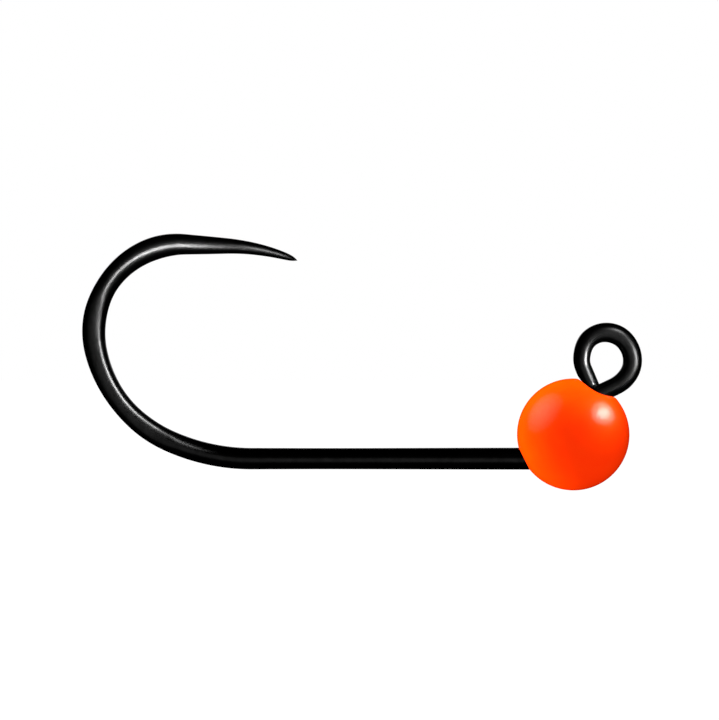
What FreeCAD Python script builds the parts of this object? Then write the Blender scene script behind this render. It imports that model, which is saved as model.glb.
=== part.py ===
import FreeCAD, Part
import math
import os
import Sketcher

# A barbless jig hook with a painted tungsten ball fixed over its sixty degree bend.
#
# Frame: millimetres, +Z up. The hook lies in the XZ plane. The origin is the centre of
# the line eye, the shank runs back from it along -X and the point is on the upper side.
# Headings are degrees in that plane, from +X towards +Z.

# alias, value (mm, or degrees for angles and turns), what it is
DIMENSIONS = [
    ("bead_diameter", 4.0, "ball over its paint, 5/32 inch"),
    ("bead_back", 1.21, "centre of the ball behind the eye"),
    ("bead_drop", 2.72, "centre of the ball below the eye"),
    ("colour_coat", 0.08, "thickness of the orange paint"),
    ("base_coat", 0.05, "thickness of the white ground under it"),
    ("bore_diameter", 1.2, "hole through the ball for the leg"),
    ("slot_width", 1.0, "slot that lets the bent wire into the ball"),
    ("seat_radius", 1.56, "hollow across the ball under the eye"),
    ("seat_ahead", 0.26, "axis of that hollow ahead of the eye"),
    ("seat_above", 0.21, "axis of that hollow above the eye"),
    ("eye_wire", 0.64, "diameter of the wire in the eye"),
    ("eye_radius", 0.91, "centre of the eye to the middle of the wire"),
    ("eye_end", 203.0, "where round the eye its straight end begins"),
    ("eye_turn", 233.0, "round part of the eye"),
    ("end_length", 0.72, "straight cut end of the eye"),
    ("end_gap", 0.02, "clearance round the cut end"),
    ("throat_radius", 1.43, "easier bend from the eye down to the neck"),
    ("neck_turn", 33.0, "turn of that bend, and of the kink back to the leg"),
    ("kink_radius", 0.70, "kink where the leg turns into the neck"),
    ("leg_angle", 60.0, "leg above the line of the shank"),
    ("step_above", 0.90, "thick part of the leg ends this far above the ball's centre"),
    ("step_length", 0.40, "taper in the leg from shank wire to eye wire"),
    ("shank_wire", 0.75, "diameter of the wire in the shank"),
    ("shank_drop", 3.585, "middle of the shank below the eye"),
    ("jig_radius", 0.80, "bend between leg and shank, to the middle of the wire"),
    ("bend_back", 12.68, "end of the straight shank behind the eye"),
    ("heel_radius", 7.20, "first arc of the hook's bend"),
    ("heel_turn", 24.3, "turn of that arc"),
    ("back_radius", 4.62, "second arc"),
    ("back_turn", 53.2, "turn of that arc"),
    ("crown_radius", 3.13, "third arc"),
    ("crown_turn", 104.7, "turn of that arc"),
    ("spear_length", 1.476, "straight run before the point"),
    ("point_radius", 8.00, "curve of the point towards the shank"),
    ("point_turn", 14.3, "turn up to the last bevel"),
    ("bevel_turn", 4.3, "turn of the last bevel"),
    ("forged_wire", 0.80, "wire in the bend, in the hook's plane"),
    ("forged_thickness", 0.68, "wire in the bend between its forged flats"),
    ("flats_start", 14.3, "full flats behind the eye"),
    ("flats_runout", 1.6, "length over which the flats fade towards the shank"),
    ("spear_wire", 0.75, "wire at the end of the third arc"),
    ("point_wire", 0.57, "wire where the point starts to curve"),
    ("bevel_wire", 0.28, "wire where the last bevel starts"),
    ("tip_wire", 0.05, "end of the point"),
]
SHEET = "dimensions"
CUT_DEPTH = 6.0  # through the whole ball and hook, side to side

doc = FreeCAD.newDocument("jig_head")
sheet = doc.addObject("Spreadsheet::Sheet", SHEET)
for row, (alias, value, note) in enumerate(DIMENSIONS, start=1):
    sheet.set(f"A{row}", alias)
    sheet.set(f"B{row}", str(value))
    sheet.setAlias(f"B{row}", alias)
    sheet.set(f"C{row}", note)
doc.recompute()


def size(alias):
    """The value of one cell of the sheet."""
    return float(sheet.get(alias))


def bind(target, **formulas):
    """Tie properties to the sheet. A double underscore in a name stands for a dot,
    and a word in braces in a formula is a cell of the sheet."""
    for name, formula in formulas.items():
        cells = formula.replace("{", SHEET + ".").replace("}", "")
        target.setExpression(name.replace("__", "."), cells)


# ------------------------------------------------------------ lines in the hook's plane


def unit(heading):
    """Unit vector along a heading, as sketch coordinates of the XZ plane."""
    angle = math.radians(heading)
    return FreeCAD.Vector(math.cos(angle), math.sin(angle), 0)


def crossing(point, heading, other, other_heading):
    """Where the line through a point on a heading crosses another such line."""
    along, across, gap = unit(heading), unit(other_heading), other - point
    turn = along.x * across.y - along.y * across.x
    return point + along * ((gap.x * across.y - gap.y * across.x) / turn)


def tangent_length(radius, turn):
    """From the corner of two lines to where an arc between them starts."""
    return radius * math.tan(math.radians(turn) / 2)


class Route:
    """Lines and arcs laid end to end along the middle of the wire, each tangent to the last."""

    def __init__(self, start, heading, x_formula=None, z_formula=None):
        self.start = start
        self.start_heading = heading
        self.start_formulas = (x_formula, z_formula)
        self.end = start
        self.heading = heading
        self.runs = []

    def line(self, length, formula=None):
        """Run straight on. The length follows the formula if there is one."""
        begin = self.end
        self.end = begin + unit(self.heading) * length
        sizes = [("Distance", length, formula)]
        self.runs.append((Part.LineSegment(begin, self.end), 1, 2, sizes))

    def arc(self, radius, turn, share=1.0):
        """Turn by the sheet's angle, times share: negative to the right, below one in part."""
        radius_value, turn_value = size(radius), size(turn) * share
        side = 1 if share > 0 else -1
        centre = self.end + unit(self.heading + 90 * side) * radius_value
        first = math.radians(self.heading - 90 * side)
        last = first + math.radians(turn_value)
        circle = Part.Circle(centre, FreeCAD.Vector(0, 0, 1), radius_value)
        curve = Part.ArcOfCircle(circle, min(first, last), max(first, last))
        entry, leave = (1, 2) if side > 0 else (2, 1)
        span = math.radians(abs(turn_value))
        sizes = [
            ("Radius", radius_value, f"{{{radius}}}"),
            ("Angle", span, f"{{{turn}}} * {abs(share)}"),
        ]
        self.runs.append((curve, entry, leave, sizes))
        self.heading += turn_value
        self.end = centre + unit(self.heading - 90 * side) * radius_value

    def draw(self, body, name):
        """Draw the route in the body's XZ plane, led in by a construction line."""
        drawing = plane_sketch(body, name, "XZ_Plane")
        lead = Part.LineSegment(self.start - unit(self.start_heading), self.start)
        drawing.addGeometry(lead, True)
        heading = math.radians(math.remainder(self.start_heading, 360))
        fixed = [
            (Sketcher.Constraint("Distance", 0, lead.length()), None),
            (Sketcher.Constraint("Angle", 0, heading), None),
            (Sketcher.Constraint("DistanceX", -1, 1, 0, 2, self.start.x), self.start_formulas[0]),
            (Sketcher.Constraint("DistanceY", -1, 1, 0, 2, self.start.y), self.start_formulas[1]),
        ]
        before = 2
        for number, (curve, entry, leave, sizes) in enumerate(self.runs, start=1):
            drawing.addGeometry(curve, False)
            tangent = Sketcher.Constraint("Tangent", number - 1, before, number, entry)
            fixed.append((tangent, None))
            for kind, value, formula in sizes:
                fixed.append((Sketcher.Constraint(kind, number, value), formula))
            before = leave
        for constraint, formula in fixed:
            index = drawing.addConstraint(constraint)
            if formula:
                bind(drawing, **{f"Constraints[{index}]": formula})
        return drawing


# ------------------------------------------------------------------- sketches and cuts


def plane_sketch(body, name, role, place=None):
    """An empty sketch on one of the body's own origin planes, moved within it by place."""
    drawing = body.newObject("Sketcher::SketchObject", name)
    planes = [plane for plane in body.Origin.OriginFeatures if plane.Role == role]
    drawing.AttachmentSupport = [(planes[0], "")]
    drawing.MapMode = "FlatFace"
    if place:
        drawing.AttachmentOffset = place
    return drawing


def add_circle(drawing, middle, diameter, formula):
    """A circle fixed at a point of the sketch, its diameter tied to the sheet."""
    circle = Part.Circle(middle, FreeCAD.Vector(0, 0, 1), diameter / 2)
    number = drawing.addGeometry(circle, False)
    drawing.addConstraint(Sketcher.Constraint("DistanceX", -1, 1, number, 3, middle.x))
    drawing.addConstraint(Sketcher.Constraint("DistanceY", -1, 1, number, 3, middle.y))
    index = drawing.addConstraint(Sketcher.Constraint("Diameter", number, diameter))
    bind(drawing, **{f"Constraints[{index}]": formula})


def add_polygon(drawing, corners):
    """A closed outline of straight lines."""
    first = drawing.GeometryCount
    for number, corner in enumerate(corners):
        following = corners[(number + 1) % len(corners)]
        drawing.addGeometry(Part.LineSegment(corner, following), False)
    for number in range(len(corners)):
        following = first + (number + 1) % len(corners)
        drawing.addConstraint(Sketcher.Constraint("Coincident", first + number, 2, following, 1))


def wire_section(body, name, point, heading, wire):
    """A circle across the wire at a point of the hook's plane. wire is its cell."""
    across = FreeCAD.Rotation(FreeCAD.Vector(1, 0, 0), -heading)
    place = FreeCAD.Placement(FreeCAD.Vector(0, point.y, point.x), across)
    drawing = plane_sketch(body, name, "YZ_Plane", place)
    add_circle(drawing, FreeCAD.Vector(0, 0, 0), size(wire), f"{{{wire}}}")
    return drawing


def cut_through(body, name, drawing, depth_formula=None):
    """Pocket a sketch to both sides of its plane, and make sure that it cut something."""
    before = body.Shape.Volume
    pocket = body.newObject("PartDesign::Pocket", name)
    pocket.Profile = drawing
    pocket.SideType = "Symmetric"
    pocket.Length = CUT_DEPTH
    if depth_formula:
        bind(pocket, Length=depth_formula)
    doc.recompute()
    assert body.Shape.Volume < before, name + " cuts nothing"


def new_body(name):
    body = doc.addObject("PartDesign::Body", name)
    body.Label = name
    doc.recompute()
    return body


def sweep(body, name, profile, route, end_sections=()):
    """Carry a section along a route, changing evenly to the end section if there is one."""
    path = route.draw(body, name + "_line")
    doc.recompute()
    pipe = body.newObject("PartDesign::AdditivePipe", name)
    pipe.Profile = profile
    pipe.Spine = (path, [""])
    pipe.Mode = "Frenet"
    if end_sections:
        pipe.Transformation = "Multisection"
        pipe.Sections = [(drawing, [""]) for drawing in end_sections]
    doc.recompute()


# ------------------------------------------------------------------------ lines to share

BEAD_CENTRE = FreeCAD.Vector(-size("bead_back"), -size("bead_drop"), 0)
BEAD_PLACE = FreeCAD.Vector(BEAD_CENTRE.x, 0, BEAD_CENTRE.y)
SKETCH_AT_BEAD = FreeCAD.Placement(BEAD_CENTRE, FreeCAD.Rotation())
SEAT_CENTRE = FreeCAD.Vector(size("seat_ahead"), size("seat_above"), 0)
EYE_END = unit(size("eye_end")) * size("eye_radius")
LEG_DOWN = 180 + size("leg_angle")


# ------------------------------------------------------------------------------ the hook


def eye_route():
    """From the straight end round the eye, down the throat, neck and kink into the leg."""
    route = Route(
        EYE_END,
        size("eye_end") - 90,
        "{eye_radius} * cos({eye_end})",
        "{eye_radius} * sin({eye_end})",
    )
    route.arc("eye_radius", "eye_turn", -1)
    route.arc("throat_radius", "neck_turn", -1)
    corner = crossing(route.end, route.heading, BEAD_CENTRE, LEG_DOWN)
    kink = tangent_length(size("kink_radius"), size("neck_turn"))
    route.line((corner - route.end).Length - kink)
    kink_centre = route.end + unit(route.heading + 90) * size("kink_radius")
    route.arc("kink_radius", "neck_turn")
    step_top = size("step_above") + size("step_length")
    route.line((route.end - BEAD_CENTRE).Length - step_top)
    return route, kink_centre


def shank_route():
    """From the step in the leg through the jig bend and along the shank."""
    start = BEAD_CENTRE - unit(LEG_DOWN) * size("step_above")
    shank = FreeCAD.Vector(0, -size("shank_drop"), 0)
    corner = crossing(start, LEG_DOWN, shank, 180)
    trim = tangent_length(size("jig_radius"), size("leg_angle"))
    route = Route(start, LEG_DOWN)
    route.line((corner - start).Length - trim)
    route.arc("jig_radius", "leg_angle", -1)
    route.line(route.end.x + size("bend_back"))
    return route


def cut_end(hook, kink_centre):
    """The straight end of the eye: dressed to the seat, and clear of the kinked neck."""
    profile = wire_section(hook, "end_section", EYE_END, size("eye_end") + 90, "eye_wire")
    pad = hook.newObject("PartDesign::Pad", "eye_straight_end")
    pad.Profile = profile
    bind(pad, Length="{end_length}")
    doc.recompute()

    outside = plane_sketch(hook, "outside_the_seat", "XZ_Plane")
    reach = 2 * (size("seat_radius") - size("end_gap"))
    add_circle(outside, SEAT_CENTRE, reach, "2 * ({seat_radius} - {end_gap})")
    add_circle(outside, SEAT_CENTRE, 2 * reach, "4 * ({seat_radius} - {end_gap})")
    cut_through(hook, "end_dressed_to_seat", outside)

    beside = plane_sketch(hook, "beside_the_neck", "XZ_Plane")
    clear = 2 * (size("kink_radius") + size("end_gap")) + size("eye_wire")
    formula = "2 * ({kink_radius} + {end_gap}) + {eye_wire}"
    add_circle(beside, kink_centre, clear, formula)
    cut_through(hook, "end_clear_of_neck", beside)


def leg_step(hook, eye, shank):
    """The taper between the eye's thinner wire and the shank's, hidden in the ball."""
    thin = wire_section(hook, "step_top", eye.end, LEG_DOWN, "eye_wire")
    thick = wire_section(hook, "step_bottom", shank.start, LEG_DOWN, "shank_wire")
    doc.recompute()
    loft = hook.newObject("PartDesign::AdditiveLoft", "leg_step")
    loft.Profile = thin
    loft.Sections = [(thick, [""])]
    loft.Ruled = True
    doc.recompute()


# name, arc radius or straight length, turn, share of that turn, wire at the end
BEND_RUNS = [
    ("heel", "heel_radius", "heel_turn", -1, "shank_wire"),
    ("back", "back_radius", "back_turn", -1, "forged_wire"),
    ("crown", "crown_radius", "crown_turn", -0.5, "forged_wire"),
    ("crown_to_spear", "crown_radius", "crown_turn", -0.5, "spear_wire"),
    ("spear", "spear_length", None, 0, "point_wire"),
    ("point", "point_radius", "point_turn", -1, "bevel_wire"),
    ("last_bevel", "point_radius", "bevel_turn", -1, "tip_wire"),
]


def bend_and_point(hook, shank):
    """The bend, thicker where it is forged, then the taper to the barbless point."""
    point, heading, wire = shank.end, 180, "shank_wire"
    for name, length, turn, share, end_wire in BEND_RUNS:
        route = Route(point, heading)
        if turn:
            route.arc(length, turn, share)
        else:
            route.line(size(length), f"{{{length}}}")
        first = wire_section(hook, name + "_start", point, heading, wire)
        point, heading = route.end, route.heading
        last = []
        if end_wire != wire:
            last = [wire_section(hook, name + "_end", point, heading, end_wire)]
        sweep(hook, name, first, route, last)
        wire = end_wire


def forge_flats(hook):
    """Flatten both sides of the bend. The flats fade out towards the shank."""
    flat = size("forged_thickness") / 2
    side = size("forged_wire")
    full = -size("flats_start")
    faded = full + size("flats_runout")
    behind = full - 2 * size("crown_radius")
    drawing = plane_sketch(hook, "flats_from_above", "XY_Plane")
    for way in (1, -1):
        corners = [(faded, side / 2), (full, flat), (behind, flat), (behind, side), (faded, side)]
        add_polygon(drawing, [FreeCAD.Vector(x, way * y, 0) for x, y in corners])
    cut_through(hook, "forged_flats", drawing, "2 * {bend_back}")


def make_hook():
    """One piece of wire: eye, leg, jig bend, shank, bend and point."""
    hook = new_body("hook")
    eye, kink_centre = eye_route()
    shank = shank_route()
    cut_end(hook, kink_centre)
    profile = wire_section(hook, "eye_section", eye.start, eye.start_heading, "eye_wire")
    sweep(hook, "eye", profile, eye)
    leg_step(hook, eye, shank)
    profile = wire_section(hook, "leg_section", shank.start, LEG_DOWN, "shank_wire")
    sweep(hook, "leg_and_shank", profile, shank)
    bend_and_point(hook, shank)
    forge_flats(hook)
    return hook


# -------------------------------------------------------------------- the ball and coats


def make_bead():
    """The tungsten ball: bored for the leg, slotted for the bent wire, hollowed at the eye."""
    bead = new_body("bead")
    radius = size("bead_diameter") / 2 - size("colour_coat") - size("base_coat")
    level = FreeCAD.Placement(BEAD_PLACE, FreeCAD.Rotation())
    drawing = plane_sketch(bead, "half_disc", "XY_Plane", level)
    bind(drawing, AttachmentOffset__Base__x="-{bead_back}", AttachmentOffset__Base__z="-{bead_drop}")
    middle = FreeCAD.Vector(0, 0, 0)
    circle = Part.Circle(middle, FreeCAD.Vector(0, 0, 1), radius)
    drawing.addGeometry(Part.ArcOfCircle(circle, -math.pi / 2, math.pi / 2), False)
    drawing.addGeometry(Part.LineSegment(unit(90) * radius, unit(-90) * radius), False)
    for constraint in (
        Sketcher.Constraint("Coincident", 0, 3, -1, 1),
        Sketcher.Constraint("Coincident", 0, 2, 1, 1),
        Sketcher.Constraint("Coincident", 0, 1, 1, 2),
        Sketcher.Constraint("PointOnObject", 1, 1, -2),
        Sketcher.Constraint("PointOnObject", 1, 2, -2),
    ):
        drawing.addConstraint(constraint)
    index = drawing.addConstraint(Sketcher.Constraint("Radius", 0, radius))
    bind(drawing, **{f"Constraints[{index}]": "{bead_diameter} / 2 - {colour_coat} - {base_coat}"})
    doc.recompute()
    ball = bead.newObject("PartDesign::Revolution", "ball")
    ball.Profile = drawing
    ball.ReferenceAxis = (drawing, ["V_Axis"])
    ball.Angle = 360
    doc.recompute()

    seat = plane_sketch(bead, "seat_outline", "XZ_Plane")
    across = 2 * (size("seat_radius") + size("colour_coat") + size("base_coat"))
    add_circle(seat, SEAT_CENTRE, across, "2 * ({seat_radius} + {colour_coat} + {base_coat})")
    cut_through(bead, "eye_seat", seat)

    bore = wire_section(bead, "bore_outline", BEAD_CENTRE, LEG_DOWN, "bore_diameter")
    cut_through(bead, "bore", bore)

    slot = plane_sketch(bead, "slot_outline", "XZ_Plane", SKETCH_AT_BEAD)
    top = size("bead_drop") - size("shank_drop") + size("slot_width") / 2
    outside = -size("bead_diameter")
    bore_axis = FreeCAD.Vector(0, 0, 0)
    upper = crossing(bore_axis, LEG_DOWN, FreeCAD.Vector(0, top, 0), 0)
    lower = crossing(bore_axis, LEG_DOWN, FreeCAD.Vector(0, outside, 0), 0)
    upper_outside = FreeCAD.Vector(outside, top, 0)
    lower_outside = FreeCAD.Vector(outside, outside, 0)
    corners = [upper_outside, upper, lower, lower_outside]
    add_polygon(slot, corners)
    cut_through(bead, "slot", slot, "{slot_width}")
    return bead


def hollowed_ball(name, depth):
    """A ball whose surface lies the depth below the paint, also in the hollow at the eye."""
    across = FreeCAD.Rotation(FreeCAD.Vector(1, 0, 0), -90)
    ball = doc.addObject("Part::Sphere", name + "_sphere")
    ball.Placement = FreeCAD.Placement(BEAD_PLACE, across)
    bind(ball, Radius=f"{{bead_diameter}} / 2 - ({depth})")
    hollow = doc.addObject("Part::Cylinder", name + "_hollow")
    corner = FreeCAD.Vector(SEAT_CENTRE.x, -CUT_DEPTH / 2, SEAT_CENTRE.y)
    hollow.Placement = FreeCAD.Placement(corner, across)
    hollow.Height = CUT_DEPTH
    bind(hollow, Radius=f"{{seat_radius}} + ({depth})")
    return subtract(name, ball, hollow)


def subtract(name, base, tool):
    cut = doc.addObject("Part::Cut", name)
    cut.Label = name
    cut.Base = base
    cut.Tool = tool
    doc.recompute()
    return cut


def make_fill_and_coats(hook, bead):
    """What holds the ball on the wire, and the two layers of paint over it."""
    painted = hollowed_ball("over_colour", "0")
    primed = hollowed_ball("over_base", "{colour_coat}")
    bare = hollowed_ball("bare_ball", "{colour_coat} + {base_coat}")
    spaces = subtract("bore_and_slot", bare, bead)
    fill = subtract("slot_fill", spaces, hook)
    ground = subtract("base_coat_shell", primed, bare)
    base = subtract("base_coat_layer", ground, hook)
    skin = subtract("colour_coat_shell", painted, primed)
    colour = subtract("colour_coat_layer", skin, hook)
    return fill, base, colour


# -------------------------------------------------------------------- check and write out


def check(pieces):
    """Stop on any failed object or unsound piece before a file is written."""
    for item in doc.Objects:
        bad = {"Invalid", "Error"} & set(item.State)
        assert not bad, f"{item.Name}: {item.State}"
    for name, piece in pieces.items():
        shape = piece.Shape
        assert not shape.isNull() and shape.isValid(), name
        box = shape.BoundBox
        print(
            f"{name}: {len(shape.Solids)} solid, {shape.Volume:.3f} mm3, "
            f"{box.XLength:.2f} x {box.YLength:.2f} x {box.ZLength:.2f} mm"
        )


hook = make_hook()
bead = make_bead()
fill, base, colour = make_fill_and_coats(hook, bead)
pieces = {
    "hook": hook,
    "bead": bead,
    "slot_fill": fill,
    "base_coat": base,
    "colour_coat": colour,
}
check(pieces)
os.makedirs("parts", exist_ok=True)
for name, piece in pieces.items():
    piece.Shape.exportStep(f"parts/{name}.step")
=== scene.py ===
import math
import bmesh
import bpy
import numpy as np
from mathutils import Matrix, Vector


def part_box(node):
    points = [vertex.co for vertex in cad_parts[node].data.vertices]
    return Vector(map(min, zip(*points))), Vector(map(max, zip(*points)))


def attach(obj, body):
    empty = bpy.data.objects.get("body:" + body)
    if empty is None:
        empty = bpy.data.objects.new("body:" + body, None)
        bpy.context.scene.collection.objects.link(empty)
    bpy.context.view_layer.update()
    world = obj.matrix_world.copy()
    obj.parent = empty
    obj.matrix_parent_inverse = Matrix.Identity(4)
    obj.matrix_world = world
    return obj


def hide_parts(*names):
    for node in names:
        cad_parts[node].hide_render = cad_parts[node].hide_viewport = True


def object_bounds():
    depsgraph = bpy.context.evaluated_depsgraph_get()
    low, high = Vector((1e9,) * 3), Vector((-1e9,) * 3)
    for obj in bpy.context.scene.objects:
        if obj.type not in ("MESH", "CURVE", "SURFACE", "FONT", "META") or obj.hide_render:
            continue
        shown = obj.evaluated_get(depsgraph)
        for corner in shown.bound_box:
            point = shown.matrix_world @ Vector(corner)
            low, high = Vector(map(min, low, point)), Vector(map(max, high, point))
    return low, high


# The looks of a barbless jig hook with a painted ball head. The hook's wire and the orange
# paint are remodelled here in finer detail; the ball, its filling and the white ground
# under the paint stay CAD nodes with materials of their own.
#
# Sizes are millimetres in the hook's plane, x towards the eye and z up, until a mesh is
# written in metres. The origin is the centre of the line eye. Headings are degrees from
# +x towards +z.

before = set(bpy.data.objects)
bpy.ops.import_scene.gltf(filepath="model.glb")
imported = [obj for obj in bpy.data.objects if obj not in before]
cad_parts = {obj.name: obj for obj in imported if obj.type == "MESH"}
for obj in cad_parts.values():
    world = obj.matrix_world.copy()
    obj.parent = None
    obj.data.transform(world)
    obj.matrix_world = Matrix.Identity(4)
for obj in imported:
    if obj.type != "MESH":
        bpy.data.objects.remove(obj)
cad_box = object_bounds()

MM = 0.001


def middle_and_radius(node):
    """Centre and radius of a ball-shaped node, in millimetres."""
    low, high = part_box(node)
    centre = (low + high) / 2 / MM
    return np.array(centre), (high.x - low.x) / 2 / MM


BALL_CENTRE, BALL_RADIUS = middle_and_radius("colour_coat")
GROUND_RADIUS = middle_and_radius("base_coat")[1]
PAINT = BALL_RADIUS - GROUND_RADIUS

# ------------------------------------------------------------------ the wire's own line

EYE_RADIUS = 0.91
EYE_START = 203.0  # where round the eye its straight cut end begins
EYE_TURN = 233.0
EYE_WIRE = 0.64
THROAT_RADIUS = 1.43
NECK_TURN = 33.0
KINK_RADIUS = 0.70
LEG_HEADING = 240.0
STEP_TOP = 1.30  # the leg thickens between these heights above the ball's centre
STEP_BOTTOM = 0.90
SHANK_WIRE = 0.75
SHANK_DROP = 3.585
JIG_RADIUS = 0.80
JIG_TURN = 60.0
BEND_BACK = 12.68
SEAT_CENTRE = np.array([0.26, 0.21])  # the hollow across the ball under the eye
SEAT_RADIUS = 1.56
END_GAP = 0.02  # clearance of the cut end from the seat
NECK_GAP = -0.025  # its clearance from the neck at full width; the neck is thinner there

# radius and turn of each arc from the straight shank to the point; no radius is a straight
BEND_ARCS = [(7.20, 24.3), (4.62, 53.2), (3.13, 104.7), (None, 1.476), (8.00, 18.6)]


def unit(heading):
    angle = math.radians(heading)
    return np.array([math.cos(angle), math.sin(angle)])


class WireLine:
    """Lines and clockwise or anticlockwise arcs end to end, each tangent to the last."""

    def __init__(self, start, heading):
        self.end = np.array(start, float)
        self.heading = heading
        self.length = 0.0
        self.runs = []
        self.marks = {}

    def line(self, length):
        self.runs.append((self.length, length, self.end, self.heading, 0.0))
        self.end = self.end + unit(self.heading) * length
        self.length += length

    def arc(self, radius, turn):
        """A positive turn is anticlockwise."""
        side = math.copysign(1.0, turn)
        length = radius * math.radians(abs(turn))
        self.runs.append((self.length, length, self.end, self.heading, side / radius))
        centre = self.end + unit(self.heading + 90 * side) * radius
        self.heading += turn
        self.end = centre - unit(self.heading + 90 * side) * radius
        self.length += length
        return centre

    def mark(self, name):
        self.marks[name] = self.length

    def at(self, place):
        """Point and heading at a length along the line."""
        run = [r for r in self.runs if r[0] <= place][-1]
        begin, length, start, heading, curvature = run
        along = min(place - begin, length)
        if not curvature:
            return start + unit(heading) * along, heading
        side = math.copysign(1.0, curvature)
        centre = start + unit(heading + 90 * side) / abs(curvature)
        now = heading + math.degrees(along * curvature)
        return centre - unit(now + 90 * side) / abs(curvature), now


def wire_line():
    """From where the cut end meets the eye, round the eye and down to the point."""
    wire = WireLine(unit(EYE_START) * EYE_RADIUS, EYE_START - 90)
    wire.mark("start")
    wire.arc(EYE_RADIUS, -EYE_TURN)
    wire.mark("eye end")
    wire.arc(THROAT_RADIUS, -NECK_TURN)
    ball = BALL_CENTRE[[0, 2]]
    leg = unit(LEG_HEADING)
    off_leg = np.cross(leg, wire.end - ball)
    to_corner = off_leg / math.sin(math.radians(NECK_TURN))
    wire.line(to_corner - KINK_RADIUS * math.tan(math.radians(NECK_TURN) / 2))
    wire.kink_centre = wire.arc(KINK_RADIUS, NECK_TURN)
    below_centre = (-SHANK_DROP - ball[1]) / leg[1]
    past_centre = below_centre - JIG_RADIUS * math.tan(math.radians(JIG_TURN) / 2)
    above_centre = np.dot(ball - wire.end, leg)
    wire.marks["step top"] = wire.length + above_centre - STEP_TOP
    wire.marks["step bottom"] = wire.length + above_centre - STEP_BOTTOM
    wire.line(above_centre + past_centre)
    wire.arc(JIG_RADIUS, -JIG_TURN)
    wire.line(wire.end[0] + BEND_BACK)
    wire.mark("bend")
    for radius, amount in BEND_ARCS:
        if radius:
            wire.arc(radius, -amount)
        else:
            wire.line(amount)
    wire.mark("tip")
    return wire


# --------------------------------------------------------------------------- the hook

AROUND = 72  # points round the wire
STEP = 0.055  # between rings of the wire
CAP_RINGS = 6  # on the cut face of the eye's end
END_RINGS = 5  # along the eye's straight end
EDGE = 5.0  # how sharp the edges of the forged flats are
FULL_FLATS = 0.08  # share of its width by which the wire is thinner where the flats are full

# place past a mark, wire in the hook's plane, wire across it, shift to the left of its way
EYE_STATIONS = [
    ("start", 0.0, 0.59, 0.62, 0.0),
    ("start", 0.5, 0.615, 0.63, -0.012),
    ("start", 1.15, 0.655, 0.64, 0.030),
    ("start", 2.1, 0.71, 0.65, 0.0),
    ("start", 2.8, 0.685, 0.65, -0.020),
    ("eye end", 0.3, 0.67, 0.64, 0.050),
    ("eye end", 0.9, 0.64, 0.64, 0.025),
    ("step top", 0.0, 0.64, 0.64, 0.0),
    ("step bottom", 0.0, 0.75, 0.75, 0.0),
]
BEND_STATIONS = [
    ("bend", -10.0, 0.785, 0.78, 0.0),
    ("bend", -2.5, 0.755, 0.75, 0.0),
    ("bend", 1.0, 0.77, 0.76, 0.0),
    ("bend", 2.6, 0.77, 0.74, 0.0),
    ("bend", 3.7, 0.765, 0.65, 0.0),
    ("bend", 5.2, 0.72, 0.65, 0.0),
    ("bend", 8.4, 0.825, 0.70, 0.0),
    ("bend", 9.8, 0.76, 0.74, 0.0),
    ("bend", 11.9, 0.825, 0.80, 0.0),
    ("bend", 13.4, 0.695, 0.66, 0.0),
    ("bend", 15.1, 0.49, 0.46, 0.0),
    ("bend", 16.2, 0.345, 0.33, 0.0),
    ("tip", -0.3, 0.22, 0.21, 0.0),
    ("tip", -0.12, 0.13, 0.13, 0.0),
    ("tip", 0.0, 0.02, 0.02, 0.0),
]


def smooth_stations(wire, column):
    """A function of the place along the wire through the stations, with no overshoot."""
    rows = [(wire.marks[s[0]] + s[1], s[column]) for s in EYE_STATIONS + BEND_STATIONS]
    place = np.array([r[0] for r in rows])
    value = np.array([r[1] for r in rows])
    gap = np.diff(place)
    slope = np.diff(value) / gap
    tangent = np.zeros(len(value))
    for i in range(1, len(value) - 1):
        if slope[i - 1] * slope[i] > 0:
            before, after = 2 * gap[i] + gap[i - 1], gap[i] + 2 * gap[i - 1]
            tangent[i] = (before + after) / (before / slope[i - 1] + after / slope[i])
    tangent[-1] = slope[-1]

    def value_at(where):
        i = int(np.clip(np.searchsorted(place, where) - 1, 0, len(gap) - 1))
        t = np.clip((where - place[i]) / gap[i], 0, 1)
        h = gap[i]
        return (
            (1 + 2 * t) * (1 - t) ** 2 * value[i]
            + t * (1 - t) ** 2 * h * tangent[i]
            + t * t * (3 - 2 * t) * value[i + 1]
            + t * t * (t - 1) * h * tangent[i + 1]
        )

    return value_at


def section(width, thickness):
    """In-plane and across offsets round the wire: an oval, pressed flat if it is thin enough."""
    angle = np.linspace(0, 2 * math.pi, AROUND, endpoint=False)
    radius, flat = width / 2, thickness / 2
    in_plane = radius * np.cos(angle)
    across = radius * np.sin(angle)
    soft = (np.abs(across) ** EDGE + flat**EDGE) ** (1 / EDGE)
    top = (radius**EDGE + flat**EDGE) ** (1 / EDGE)
    pressed = across * flat / soft * top / radius
    share = np.clip((1 - flat / radius) / FULL_FLATS, 0, 1)
    oval = across * flat / radius
    return in_plane, oval * (1 - share) + pressed * share


def ray_to_circle(start, way, centre, radius, leaving):
    """Length along a ray to where it leaves or enters a circle, or infinity."""
    gap = start - centre
    half = np.dot(gap, way)
    root = half * half - np.dot(gap, gap) + radius * radius
    if root < 0:
        return math.inf
    length = -half + math.sqrt(root) if leaving else -half - math.sqrt(root)
    return length if length > 0 else math.inf


def cut_end_length(wire, start, way):
    """How far the eye's straight end runs before the seat or the kinked neck stops it."""
    to_seat = ray_to_circle(start, way, SEAT_CENTRE, SEAT_RADIUS - END_GAP, True)
    clear = KINK_RADIUS + EYE_WIRE / 2 + NECK_GAP
    to_neck = ray_to_circle(start, way, wire.kink_centre, clear, False)
    return min(to_seat, to_neck)


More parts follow.
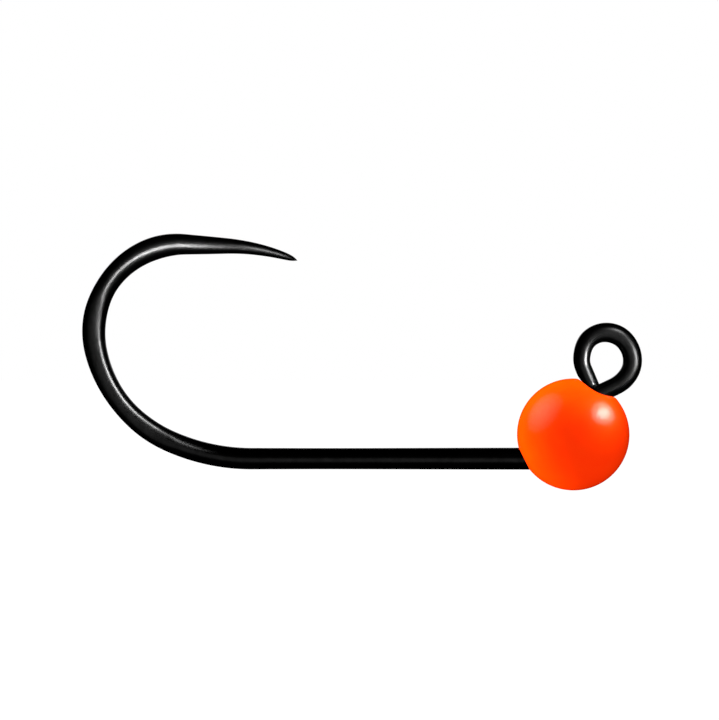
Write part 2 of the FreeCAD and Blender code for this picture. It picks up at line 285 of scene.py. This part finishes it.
def cut_end_rings(wire, in_plane, across):
    """Rings from the middle of the cut face out to its edge and up to the eye."""
    base, heading = wire.at(0.0)
    way = -unit(heading)
    side = unit(heading + 90)
    rings, places = [], []
    shares = [(k / CAP_RINGS, 1.0) for k in range(1, CAP_RINGS + 1)]
    shares += [(1.0, 1 - k / END_RINGS) for k in range(1, END_RINGS)]
    for spread, reach in shares:
        ring = []
        for u, v in zip(in_plane * spread, across * spread):
            start = base + side * u
            point = start + way * cut_end_length(wire, start, way) * reach
            ring.append((point[0], v, point[1]))
        rings.append(ring)
        places.append(-reach)
    tip = base + way * cut_end_length(wire, base, way)
    return rings, places, (tip[0], 0.0, tip[1])


def hook_rings(wire):
    """Every ring of the wire, from the cut end of the eye to the point."""
    width, thickness, shift = (smooth_stations(wire, column) for column in (2, 3, 4))
    rings, places, end = cut_end_rings(wire, *section(width(0), thickness(0)))
    total = wire.length
    for place in np.linspace(0, total, int(total / STEP)):
        point, heading = wire.at(place)
        side = unit(heading + 90)
        in_plane, across = section(width(place), thickness(place))
        edge = point + side * (in_plane + shift(place))[:, None]
        rings.append([(x, y, z) for (x, z), y in zip(edge, across)])
        places.append(place)
    tip = point + unit(heading) * width(total) / 2
    return rings, places, end, (tip[0], 0.0, tip[1])


def add_piece(name, points, faces, slot, *nodes):
    """A smooth mesh from points in millimetres, riding on the frame in place of its nodes."""
    mesh = bpy.data.meshes.new(name)
    mesh.from_pydata([tuple(c * MM for c in p) for p in points], [], faces)
    mesh.shade_smooth()
    piece = bpy.data.objects.new(name, mesh)
    bpy.context.scene.collection.objects.link(piece)
    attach(piece, "root")
    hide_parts(*nodes)
    return piece


def make_hook():
    wire = wire_line()
    rings, places, end, tip = hook_rings(wire)
    points = [p for ring in rings for p in ring] + [end, tip]
    first, last = len(points) - 2, len(points) - 1
    turn = [(k, (k + 1) % AROUND) for k in range(AROUND)]
    top = (len(rings) - 1) * AROUND
    faces = [(first, a, b) for a, b in turn]
    for ring in range(len(rings) - 1):
        low, high = ring * AROUND, (ring + 1) * AROUND
        faces += [(low + b, low + a, high + a, high + b) for a, b in turn]
    faces += [(top + b, top + a, last) for a, b in turn]
    hook = add_piece("hook_wire", points, faces, "black_nickel_wire", "hook")
    wire_map(hook, places)
    return hook


def wire_map(hook, places):
    """A UV map in millimetres: along the wire, and round it."""
    mesh = hook.data
    layer = mesh.uv_layers.new(name="wire")
    round_length = math.pi * SHANK_WIRE
    for face in mesh.polygons:
        corners = [mesh.loops[i].vertex_index for i in face.loop_indices]
        spots = [v % AROUND for v in corners]
        wraps = max(spots) - min(spots) > AROUND / 2
        for loop, vertex, spot in zip(face.loop_indices, corners, spots):
            ring = min(vertex // AROUND, len(places) - 1)
            share = spot / AROUND + (1 if wraps and spot < AROUND / 2 else 0)
            layer.data[loop].uv = (places[ring], share * round_length)


# --------------------------------------------------------------------------- the paint

BALL_DETAIL = 7  # subdivisions of the paint's icosphere
SEAT_EDGE = 0.08  # rounding where the ball's surface turns into the seat
LIP = 0.02  # how far the paint's hollow stands back from the seat
FILLET = 0.04  # paint drawn up round the wire where it leaves the ball
FILM = 0.015  # how far up the wire the paint reaches
INSIDE_WIRE = -0.03  # the skin stops this far inside the wire
NECK_STEP = 0.04  # between the points that stand for the neck's line
NEAREST, FARTHEST = 0.4, 1.1  # where a surface is looked for, in radii of the ball
HALVINGS = 24


def smooth_less(a, b, blend):
    """The smaller of two distances, with the corner between them rounded."""
    mix = np.clip(0.5 + 0.5 * (b - a) / blend, 0, 1)
    return b + (a - b) * mix - blend * mix * (1 - mix)


def smooth_more(a, b, blend):
    """The larger of two distances, with the corner between them rounded."""
    return -smooth_less(-a, -b, blend)


def ball_distance(point, radius, seat):
    """Distance outside a ball that is hollowed by the seat."""
    ball = np.linalg.norm(point - BALL_CENTRE, axis=1) - radius
    hollow = seat - np.hypot(point[:, 0] - SEAT_CENTRE[0], point[:, 2] - SEAT_CENTRE[1])
    return smooth_more(ball, hollow, SEAT_EDGE)


def neck_line():
    """Points along the middle of the wire from the eye down into the ball."""
    wire = wire_line()
    places = np.arange(wire.marks["eye end"], wire.marks["step top"], NECK_STEP)
    return [wire.at(place)[0] for place in places]


def wire_distance(point, line):
    """Distance outside the wire where it leaves the ball at the shank and at the neck."""
    far = BALL_RADIUS
    shank = np.hypot(point[:, 1], point[:, 2] + SHANK_DROP) - SHANK_WIRE / 2
    shank = np.where(point[:, 0] < BALL_CENTRE[0], shank, far)
    neck = np.full(len(point), far)
    for spot in line:
        away = np.hypot(point[:, 0] - spot[0], point[:, 2] - spot[1])
        neck = np.minimum(neck, np.hypot(away, point[:, 1]) - EYE_WIRE / 2)
    return np.minimum(shank, neck)


def ball_triangles():
    """Directions from the ball's centre, and the triangles between them."""
    ball = bmesh.new()
    bmesh.ops.create_icosphere(ball, subdivisions=BALL_DETAIL, radius=1.0)
    ball.verts.index_update()
    way = np.array([v.co for v in ball.verts])
    way /= np.linalg.norm(way, axis=1)[:, None]
    triangles = [tuple(v.index for v in f.verts) for f in ball.faces]
    ball.free()
    return way, triangles


def surface_along(way, outside):
    """The point of a surface in each direction from the ball's centre."""
    low = np.full(len(way), BALL_RADIUS * NEAREST)
    high = np.full(len(way), BALL_RADIUS * FARTHEST)
    for _ in range(HALVINGS):
        guess = (low + high) / 2
        out = outside(BALL_CENTRE + way * guess[:, None]) > 0
        high = np.where(out, guess, high)
        low = np.where(out, low, guess)
    return BALL_CENTRE + way * low[:, None]


def close_shell(outer, inner, skin):
    """One closed mesh of an outer and an inner skin, joined round the edges of the openings."""
    count = len(outer)
    edges = {}
    for a, b, c in skin:
        for edge in ((a, b), (b, c), (c, a)):
            edges[edge] = True
    rim = [(a, b) for a, b in edges if (b, a) not in edges]
    faces = list(skin)
    faces += [(c + count, b + count, a + count) for a, b, c in skin]
    faces += [(b, a, a + count, b + count) for a, b in rim]
    used = sorted({v for face in faces for v in face})
    place = {old: new for new, old in enumerate(used)}
    return np.vstack([outer, inner])[used], [tuple(place[v] for v in face) for face in faces]


def make_paint():
    """The orange coat: a skin over the ball and its seat, open round the wire."""
    line = neck_line()

    def painted(point):
        ball = ball_distance(point, BALL_RADIUS, SEAT_RADIUS + LIP)
        film = np.maximum(wire_distance(point, line), ball - FILM)
        return smooth_less(ball, film, FILLET)

    def ground(point):
        return ball_distance(point, GROUND_RADIUS, SEAT_RADIUS + PAINT)

    way, triangles = ball_triangles()
    outer = surface_along(way, painted)
    inner = surface_along(way, ground)
    buried = wire_distance(outer, line) < INSIDE_WIRE
    skin = [t for t in triangles if not buried[list(t)].all()]
    points, faces = close_shell(outer, inner, skin)
    return add_piece("orange_skin", points, faces, "orange_paint", "colour_coat")


# ----------------------------------------------------------------------------- materials


class Nodes:
    """A material's node tree, with short calls to add and join nodes."""

    def __init__(self, name):
        self.material = bpy.data.materials.new(name)
        self.material.use_nodes = True
        self.tree = self.material.node_tree
        self.shader = self.tree.nodes["Principled BSDF"]

    def add(self, kind, **settings):
        node = self.tree.nodes.new("ShaderNode" + kind)
        for name, value in settings.items():
            if hasattr(node, name):
                setattr(node, name, value)
            else:
                node.inputs[name.replace("_", " ")].default_value = value
        return node

    def join(self, source, target):
        self.tree.links.new(source, target)

    def set(self, **values):
        for name, value in values.items():
            self.shader.inputs[name.replace("_", " ")].default_value = value

    def coordinates(self, stretch=(1, 1, 1)):
        """Object coordinates in millimetres, stretched."""
        source = self.add("TexCoord")
        scale = self.add("Mapping")
        scale.inputs["Scale"].default_value = [s / MM for s in stretch]
        self.join(source.outputs["Object"], scale.inputs["Vector"])
        return scale.outputs["Vector"]

    def noise(self, place, size, detail=3.0, roughness=0.5):
        """Noise with features of this size, in millimetres."""
        node = self.add("TexNoise", Scale=1 / size, Detail=detail, Roughness=roughness)
        self.join(place, node.inputs["Vector"])
        return node.outputs["Fac"]

    def ramp(self, source, *stops):
        """Colours by position: (position, colour) pairs."""
        node = self.add("ValToRGB")
        ramp = node.color_ramp
        while len(ramp.elements) < len(stops):
            ramp.elements.new(0.5)
        for element, (position, colour) in zip(ramp.elements, stops):
            element.position = position
            element.color = (*colour, 1)
        self.join(source, node.inputs["Fac"])
        return node.outputs["Color"]

    def spread(self, source, low, high):
        """A value from low to high as the source goes from 0.3 to 0.7."""
        node = self.add("MapRange")
        for name, value in zip(("From Min", "From Max", "To Min", "To Max"), (0.3, 0.7, low, high)):
            node.inputs[name].default_value = value
        self.join(source, node.inputs["Value"])
        return node.outputs["Result"]

    def bump(self, height, depth, before=None):
        """A bump this deep in millimetres, over another one if there is one."""
        node = self.add("Bump", Strength=1.0, Distance=depth * MM)
        self.join(height, node.inputs["Height"])
        if before:
            self.join(before, node.inputs["Normal"])
        return node.outputs["Normal"]


def black_nickel():
    """Dark plated wire: drawing lines along it, and a little unevenness in the plating."""
    n = Nodes("black_nickel")
    n.set(Metallic=1.0)
    uv = n.add("UVMap", uv_map="wire")
    along = n.add("Mapping")
    along.inputs["Scale"].default_value = (0.35, 22.0, 1.0)
    n.join(uv.outputs["UV"], along.inputs["Vector"])
    lines = n.noise(along.outputs["Vector"], 1.0, detail=4.0, roughness=0.6)
    plating = n.noise(n.coordinates(), 0.30, detail=4.0)
    grain = n.noise(n.coordinates(), 0.05, detail=2.0)
    colour = n.ramp(plating, (0.25, (0.019, 0.019, 0.019)), (0.75, (0.034, 0.034, 0.034)))
    n.join(colour, n.shader.inputs["Base Color"])
    n.join(n.spread(lines, 0.26, 0.34), n.shader.inputs["Roughness"])
    drawn = n.bump(lines, 0.0004)
    n.join(n.bump(grain, 0.0002, drawn), n.shader.inputs["Normal"])
    return n.material


def orange_paint():
    """Fluorescent lacquer under a clear gloss: it gives back more orange than falls on it. Its
    emission is partly a painted glow: it stands for the fluorescence and also keeps the shaded side
    bright orange.
    """
    n = Nodes("fluorescent_orange")
    cloud = n.noise(n.coordinates(), 0.9, detail=3.0)
    peel = n.noise(n.coordinates(), 0.16, detail=2.0)
    speck = n.noise(n.coordinates(), 0.025, detail=2.0)
    colour = n.ramp(cloud, (0.3, (0.90, 0.044, 0.0)), (0.7, (0.90, 0.054, 0.0)))
    # painted glow: emitted orange that stands for the fluorescence and lifts the shaded side of the
    # ball
    glow = n.ramp(cloud, (0.3, (0.90, 0.025, 0.0)), (0.7, (0.90, 0.029, 0.0)))
    n.join(colour, n.shader.inputs["Base Color"])
    n.join(glow, n.shader.inputs["Emission Color"])
    n.set(Emission_Strength=1.0, Specular_IOR_Level=0.0, Coat_Weight=1.0, Coat_Roughness=0.2)
    n.join(n.spread(speck, 0.30, 0.40), n.shader.inputs["Roughness"])
    n.join(n.bump(peel, 0.004), n.shader.inputs["Normal"])
    n.material.cycles.emission_sampling = "NONE"
    return n.material


def tungsten():
    """Sintered heavy metal: grey, slightly grainy."""
    n = Nodes("sintered_tungsten")
    n.set(Metallic=1.0)
    grain = n.noise(n.coordinates(), 0.04, detail=4.0, roughness=0.7)
    stain = n.noise(n.coordinates(), 0.6, detail=3.0)
    colour = n.ramp(stain, (0.3, (0.36, 0.36, 0.37)), (0.7, (0.48, 0.48, 0.49)))
    n.join(colour, n.shader.inputs["Base Color"])
    n.join(n.spread(grain, 0.32, 0.55), n.shader.inputs["Roughness"])
    n.join(n.bump(grain, 0.004), n.shader.inputs["Normal"])
    return n.material


def epoxy():
    """Set glue: amber, with small bubbles."""
    n = Nodes("amber_epoxy")
    bubbles = n.add("TexVoronoi", Scale=1 / 0.22, Randomness=1.0)
    n.join(n.coordinates(), bubbles.inputs["Vector"])
    clouds = n.noise(n.coordinates(), 0.7)
    colour = n.ramp(clouds, (0.3, (0.66, 0.50, 0.24)), (0.7, (0.78, 0.64, 0.36)))
    n.join(colour, n.shader.inputs["Base Color"])
    n.join(n.spread(clouds, 0.12, 0.24), n.shader.inputs["Roughness"])
    n.join(n.bump(bubbles.outputs["Distance"], 0.006), n.shader.inputs["Normal"])
    return n.material


def white_ground():
    """Matt white undercoat with a fine sprayed texture."""
    n = Nodes("white_ground")
    spray = n.noise(n.coordinates(), 0.05, detail=3.0)
    cloud = n.noise(n.coordinates(), 0.8)
    colour = n.ramp(cloud, (0.3, (0.84, 0.84, 0.82)), (0.7, (0.92, 0.92, 0.90)))
    n.join(colour, n.shader.inputs["Base Color"])
    n.join(n.spread(spray, 0.55, 0.75), n.shader.inputs["Roughness"])
    n.join(n.bump(spray, 0.004), n.shader.inputs["Normal"])
    return n.material


def wear(piece, material):
    piece.data.materials.clear()
    piece.data.materials.append(material)


# --------------------------------------------------------------- camera, floor and lights

CAMERA_AWAY = 71.43
LOOK_AT = (-8.836, 0.0, -0.0625)
LENS, SENSOR = 100.0, 36.0
CLIP_NEAR, CLIP_FAR = 1.0, 10000.0
FLOOR_GAP = 12.0  # between the floor and the lowest point of the ball
FLOOR_REACH = 1500.0
WHITE = (1.0, 1.0, 1.0, 1.0)
SEEN_WORLD = 1.0  # strength of the world to the camera
AMBIENT = 0.1  # on matt surfaces
MIRRORED_WORLD = 0.0  # in reflections
WATTS_PER_RADIANCE = 4.0  # an area light's power for each unit of radiance and area


def make_camera():
    data = bpy.data.cameras.new("camera")
    data.lens = LENS
    data.sensor_width = SENSOR
    data.clip_start = CLIP_NEAR * MM
    data.clip_end = CLIP_FAR * MM
    camera = bpy.data.objects.new("camera", data)
    camera.location = [c * MM for c in (LOOK_AT[0], -CAMERA_AWAY, LOOK_AT[2])]
    camera.rotation_euler = (math.radians(90), 0, 0)
    bpy.context.scene.collection.objects.link(camera)
    bpy.context.scene.camera = camera


def make_floor():
    """A pale floor that the camera sees, and that neither lights nor mirrors in the object."""
    n = Nodes("pale_floor")
    n.set(Base_Color=(0.8, 0.8, 0.8, 1.0), Roughness=0.9)
    n.set(Emission_Color=WHITE, Emission_Strength=SEEN_WORLD)
    level = cad_box[0].z - FLOOR_GAP * MM
    reach = FLOOR_REACH * MM
    signs = ((-1, -1), (1, -1), (1, 1), (-1, 1))
    corners = [(x * reach, y * reach, level) for x, y in signs]
    mesh = bpy.data.meshes.new("floor")
    mesh.from_pydata(corners, [], [(0, 1, 2, 3)])
    floor = bpy.data.objects.new("floor", mesh)
    bpy.context.scene.collection.objects.link(floor)
    wear(floor, n.material)
    floor.visible_glossy = False
    floor.visible_diffuse = False


def make_world():
    """White to the camera, weak light on what is matt, and nothing to mirror in what is glossy."""
    world = bpy.data.worlds.new("studio")
    bpy.context.scene.world = world
    world.use_nodes = True
    tree = world.node_tree
    path = tree.nodes.new("ShaderNodeLightPath")
    mirrored = tree.nodes["Background"]
    mirrored.inputs["Color"].default_value = WHITE
    mirrored.inputs["Strength"].default_value = MIRRORED_WORLD
    surface = mirrored.outputs[0]
    for ray, strength in (("Is Diffuse Ray", AMBIENT), ("Is Camera Ray", SEEN_WORLD)):
        layer = tree.nodes.new("ShaderNodeBackground")
        layer.inputs["Color"].default_value = WHITE
        layer.inputs["Strength"].default_value = strength
        mix = tree.nodes.new("ShaderNodeMixShader")
        tree.links.new(path.outputs[ray], mix.inputs["Fac"])
        tree.links.new(surface, mix.inputs[1])
        tree.links.new(layer.outputs[0], mix.inputs[2])
        surface = mix.outputs[0]
    tree.links.new(surface, tree.nodes["World Output"].inputs["Surface"])


def light_group(name, *pieces):
    """The pieces that some of the lights are for."""
    group = bpy.data.collections.new(name)
    for piece in pieces:
        group.objects.link(piece)
    return group


def add_light(name, group, at, aim, size, radiance, turn=0.0, spread=180.0, shine=True, soak=True):
    """A soft oval at a point, facing another; sizes in millimetres. turn rolls it, spread
    narrows its beam; shine is whether gloss mirrors it, soak whether matt colour takes it up."""
    data = bpy.data.lights.new(name, "AREA")
    data.shape = "ELLIPSE"
    data.cycles.use_multiple_importance_sampling = shine
    data.size, data.size_y = size[0] * MM, size[1] * MM
    data.energy = radiance * WATTS_PER_RADIANCE * data.size * data.size_y
    data.spread = math.radians(spread)
    light = bpy.data.objects.new(name, data)
    way = Vector(at) - Vector(aim)
    light.location = Vector(at) * MM
    facing = way.to_track_quat("Z", "Y").to_matrix()
    light.rotation_euler = (facing @ Matrix.Rotation(math.radians(turn), 3, "Z")).to_euler()
    light.visible_camera = False
    light.visible_glossy = shine
    light.visible_diffuse = soak
    light.light_linking.receiver_collection = group
    light.light_linking.blocker_collection = group
    bpy.context.scene.collection.objects.link(light)


def off(point, way, distance):
    """The point at a distance from another. way is x, y and z parts of the direction."""
    way = np.array(way, float)
    return tuple(np.array(point) + way / np.linalg.norm(way) * distance)


def light_wire(group):
    """Narrow soft lights that draw the lines along the black wire."""
    crown = (-15.7, 0.0, 3.7)
    above = off(crown, (0.0, -0.98, -0.17), 7.0)
    add_light("crown_strip", group, above, crown, (3.8, 2.2), 3.7, turn=20.0, spread=60)
    back = (-17.5, 0.0, -1.1)
    inside = off(back, (0.45, -0.85, 0.30), 6.0)
    add_light("back_strip", group, inside, back, (1.8, 4.6), 2.9, turn=30.0, spread=48)
    point = (-11.9, 0.0, 3.6)
    over = off(point, (0.05, -1.0, 0.05), 6.0)
    add_light("point_strip", group, over, point, (2.0, 3.0), 0.45, spread=30)
    eye = (0.0, 0.0, 0.0)
    side = off(eye, (0.57, -0.82, 0.03), 8.0)
    add_light("eye_side", group, side, eye, (1.6, 2.6), 2.8, spread=50)
    above = off(eye, (0.30, -0.83, 0.45), 8.0)
    add_light("eye_above", group, above, eye, (0.8, 0.6), 7.0, spread=50)
    end = (-0.85, 0.0, -0.3)
    beside = off(end, (0.74, -0.67, 0.0), 8.0)
    add_light("eye_end", group, beside, end, (0.9, 2.2), 3.2, spread=16)
    middle = (-9.0, 0.0, 0.0)
    below = off(middle, (0.0, -0.96, -0.27), 90.0)
    add_light("front_sheet", group, below, middle, (90.0, 60.0), 0.27)
    behind = off(middle, (0.0, 0.97, 0.25), 60.0)
    add_light("behind_sheet", group, behind, middle, (60.0, 24.0), 0.5)


def light_ball(group):
    """A key with a soft mirror image at the upper right, and light round the top and left rim."""
    ball = tuple(BALL_CENTRE)
    key = off(ball, (0.765, -0.23, 0.565), 60.0)
    add_light("key", group, key, ball, (34.0, 18.0), 8.0, soak=False)
    add_light("key_edge", group, key, ball, (62.0, 38.0), 2.5, soak=False)
    glow = off(ball, (0.50, -0.76, 0.42), BALL_RADIUS + 1.0)
    add_light("key_glow", group, glow, ball, (0.6, 0.6), 18.0, shine=False)
    left = off(ball, (-0.90, 0.36, -0.22), 60.0)
    add_light("left_rim", group, left, ball, (40.0, 40.0), 16.0, shine=False)
    top = off(ball, (-0.1, 0.36, 0.90), 60.0)
    add_light("top_rim", group, top, ball, (40.0, 40.0), 21.0, shine=False)
    pale = off(ball, (-0.79, 0.0, 0.61), 60.0)
    for name, width in (("left_sheet", 30.0), ("left_wider", 55.0), ("left_widest", 80.0)):
        add_light(name, group, pale, ball, (width, width), 0.3, soak=False)


# --------------------------------------------------------------------------------- scene

make_camera()
hook = make_hook()
skin = make_paint()
wear(hook, black_nickel())
wear(skin, orange_paint())
hidden = [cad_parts[name] for name in ("bead", "slot_fill", "base_coat")]
for piece, material in zip(hidden, (tungsten(), epoxy(), white_ground())):
    wear(piece, material)
for piece in (skin, *hidden):
    piece.visible_glossy = False  # the black wire shows no orange in it
make_floor()
make_world()
light_wire(light_group("wire", hook))
light_ball(light_group("ball", skin, *hidden))
bpy.context.scene.view_settings.view_transform = "Standard"
